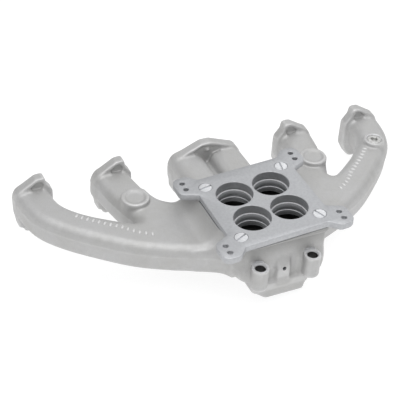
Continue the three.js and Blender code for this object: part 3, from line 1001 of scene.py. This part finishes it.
# ---------------------------------------------------------------- gasket, screws and plug
gasket_low, gasket_high = GASKET
gz0, gz1 = gasket_low[2], gasket_high[2]
gasket_rows = [[gz0, 0.25], [gz0 + 0.2, 0], [gz1 - 0.2, 0], [gz1, 0.25]]
gasket_outline = rounded_box(gasket_low, gasket_high, 8, 10)
gasket = make_object("gasket_sheet", *stacked(gasket_outline, gasket_rows), FIBRE)
gasket_bore = [[22.8, gz0 - 2], [22.8, gz1 + 2]]
carve(gasket, [lathe(gasket_bore, at, 72) for at in BORES], "gasket_bores", look=FIBRE)
notch = [[7.5, gz0 - 2], [7.5, gz1 + 2]]
notches = [lathe(notch, (x + math.copysign(2, x), y), 32) for x, y, _ in SCREWS.values()]
carve(gasket, notches, "gasket_notches", look=FIBRE)
crisp(gasket, 40)

SLOT_TURN = {"front_left": 24, "front_right": 110, "rear_right": 78, "rear_left": 8}
SCREW = [
    [3.1, -27],
    [3.9, -26.1],
    [3.9, -4.75],
    [4.1, -4.5],
    [7.35, -1.1],
    [7.6, -0.85],
    [7.6, -0.55],
    [7.4, -0.3],
    [6.6, -0.22],
    [4.0, -0.12],
    [1.5, -0.08],
    [0.15, -0.07],
]
SLOT_HALF = [[0.9, -2.1], [0.9, -0.45], [1.3, 0.05], [1.3, 1.0]]
slot_outline = np.array(SLOT_HALF + [[-x, z] for x, z in SLOT_HALF][::-1])
screws = []
for name, centre in SCREWS.items():
    screw = make_object("screw_" + name, *lathe(SCREW, (0, 0), 64), ZINC)
    verts, faces = prism(slot_outline, -10, 10, "y")
    turn = math.radians(SLOT_TURN[name] - 90)
    c, s = math.cos(turn), math.sin(turn)
    verts = np.stack([verts[:, 0] * c - verts[:, 1] * s, verts[:, 0] * s + verts[:, 1] * c, verts[:, 2]], 1)
    carve(screw, [(verts, faces)], "slot", look=ZINC)
    crisp(screw, 30)
    screw.data.transform(Matrix.Translation((centre[0], centre[1], 0)))
    screws.append(screw)

plug_centre = (PLUG[0] + PLUG[1]) / 2
plug_top, plug_low = PLUG[1][2], PLUG[0][2]
plug_profile = [
    [9.0, plug_low],
    [9.4, plug_low + 0.4],
    [9.4, plug_top - 0.9],
    [8.9, plug_top - 0.3],
    [8.2, plug_top],
    [0.2, plug_top],
]
plug = make_object("hex_plug", *lathe(plug_profile, plug_centre[:2], 72), STEEL)
hexagon = [[4.6, plug_top - 2.9], [4.6, plug_top - 0.5], [5.3, plug_top + 0.1], [5.3, plug_top + 2]]
carve(plug, [lathe(hexagon, plug_centre[:2], 6, 0.5)], "socket", look=STEEL)
crisp(plug, 30)

# ---------------------------------------------------------------- plain cast pips on the outer arms
path = smooth_path(ARM_PATH, 0.5)
travel = np.concatenate([[0], np.cumsum(np.linalg.norm(np.diff(path[:, :2], axis=0), axis=1))])
PIPS, PIP_PITCH, PIP_START = 14, 7.2, 84.0
PIP_SIZE = (3.3, 1.6, 1.3)  # half length, half width and height


def pip(at, along, size):
    """Low round-ended mark, standing across the arm."""
    rings, sides = 5, 20
    half_long, half_wide, height = size
    across = np.array([along[1], -along[0]])
    points, faces = [], []
    for k in range(rings):
        a = k / rings * math.pi / 2
        scale, z = math.cos(a), math.sin(a) * height
        for i in range(sides):
            b = 2 * math.pi * i / sides
            flat = across * half_long * math.cos(b) * scale + along * half_wide * math.sin(b) * scale
            points.append((at[0] + flat[0], at[1] + flat[1], at[2] + z))
    for i in range(sides):
        b = 2 * math.pi * i / sides
        flat = across * half_long * math.cos(b) + along * half_wide * math.sin(b)
        points.append((at[0] + flat[0], at[1] + flat[1], at[2] - 1.5))
    points.append((at[0], at[1], at[2] + height))
    low_ring, top = rings * sides, len(points) - 1
    for k in range(rings - 1):
        for i in range(sides):
            j = (i + 1) % sides
            faces.append((k * sides + i, k * sides + j, (k + 1) * sides + j, (k + 1) * sides + i))
    for i in range(sides):
        j = (i + 1) % sides
        faces.append((low_ring + i, low_ring + j, j, i))
        faces.append(((rings - 1) * sides + i, (rings - 1) * sides + j, top))
    faces.append(tuple(range(low_ring, low_ring + sides))[::-1])
    return np.array(points), faces


marks = []
for n in range(PIPS):
    distance = PIP_START + n * PIP_PITCH
    here = [np.interp(distance, travel, path[:, k]) for k in range(3)]
    ahead = [np.interp(distance + 1, travel, path[:, k]) for k in range(2)]
    along = np.array([ahead[0] - here[0], ahead[1] - here[1]])
    along /= np.linalg.norm(along)
    inward = np.array([-along[1], along[0]])
    spot = np.array(here[:2]) + inward * np.interp(n, [0, 5, PIPS], [-3.0, 6.0, 7.0])
    for side_sign in (-1, 1):
        verts, faces = pip((spot[0], spot[1], TOP - 0.15), along, PIP_SIZE)
        verts[:, 0] *= side_sign
        marks.append((verts, faces))
pips = make_object("cast_pips", *combine(marks), CAST)
add_mask(pips, "edge", np.ones(len(pips.data.vertices)))
for polygon in pips.data.polygons:
    polygon.use_smooth = True

for made in (casting, plug, pips):
    made.data.transform(LEAN @ Matrix.Scale(MM, 4))
for made in (plate, gasket, *screws):
    made.data.transform(Matrix.Scale(MM, 4))

CAST_NODES = ["plenum_housing", "heat_riser_base", "front_boss_left", "front_boss_right", "front_pad"]
CAST_NODES += ["trunk_left", "trunk_right"] + [f"runner_{n}" for n in range(1, 7)]
CAST_NODES += ["port_flange_1", "port_flange_2", "port_flange_3_4", "port_flange_5", "port_flange_6"]
CAST_NODES += ["runner_boss_2", "runner_boss_5", "runner_boss_6"]


# ---------------------------------------------------------------- attaching the pieces to the root and hiding the CAD parts they replace
for made, slot_name, nodes in (
    (casting, "cast_aluminium", CAST_NODES),
    (pips, "cast_aluminium", []),
    (plate, "machined_aluminium", ["adapter_plate"]),
    (gasket, "gasket_fibre", ["plate_gasket"]),
    (plug, "plain_steel", ["pipe_plug"]),
):
    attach(made, "root")
    if nodes:
        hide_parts(*nodes)
for screw in screws:
    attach(screw, "root")
    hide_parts("plate_" + screw.name)

# ---------------------------------------------------------------- stage, light and camera
scene = bpy.context.scene
floor_z = CAD_LOW.z
bpy.ops.mesh.primitive_plane_add(size=12, location=(0, 0, floor_z))
floor = bpy.context.object
floor.name = "floor"
paper = bpy.data.materials.new("pale_floor")
paper.use_nodes = True
shader = paper.node_tree.nodes["Principled BSDF"]
shader.inputs["Base Color"].default_value = (0.25, 0.25, 0.25, 1)
shader.inputs["Roughness"].default_value = 0.9
shader.inputs["Emission Color"].default_value = (1, 1, 1, 1)
shader.inputs["Emission Strength"].default_value = 0.84
floor.data.materials.append(paper)
floor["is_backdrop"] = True

world = bpy.data.worlds.new("studio")
scene.world = world
scene.view_settings.view_transform = "Standard"
world.use_nodes = True
world.node_tree.nodes["Background"].inputs["Color"].default_value = (1, 1, 1, 1)
world.node_tree.nodes["Background"].inputs["Strength"].default_value = 0.51


def area_light(name, at, size, power):
    """Soft rectangular light, facing the middle of the scene."""
    data = bpy.data.lights.new(name, "AREA")
    data.shape = "RECTANGLE"
    data.size, data.size_y = size
    data.energy = power
    lamp = bpy.data.objects.new(name, data)
    lamp.location = at
    lamp.rotation_euler = (-Vector(at)).to_track_quat("-Z", "Y").to_euler()
    scene.collection.objects.link(lamp)


area_light("key", (-0.15, -0.3, 1.65), (2.4, 2.0), 25)
area_light("fill", (1.0, 0.9, 0.9), (1.4, 1.0), 3.0)

VIEW_AZIMUTH, VIEW_HEIGHT = math.radians(-24.3534), math.radians(39.7365)
VIEW_DISTANCE = 1.37549
VIEW_LENS = 107.55
view_target = Vector((-0.0647, 0.0295, 0.0))
back = Vector(
    (
        math.sin(VIEW_AZIMUTH) * math.cos(VIEW_HEIGHT),
        -math.cos(VIEW_AZIMUTH) * math.cos(VIEW_HEIGHT),
        math.sin(VIEW_HEIGHT),
    )
)
camera_data = bpy.data.cameras.new("camera")
camera_data.lens = VIEW_LENS
camera_data.sensor_width = 36
camera = bpy.data.objects.new("camera", camera_data)
camera.location = view_target + back * VIEW_DISTANCE
camera.rotation_euler = (-back).to_track_quat("-Z", "Y").to_euler()
scene.collection.objects.link(camera)
scene.camera = camera

low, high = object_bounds()
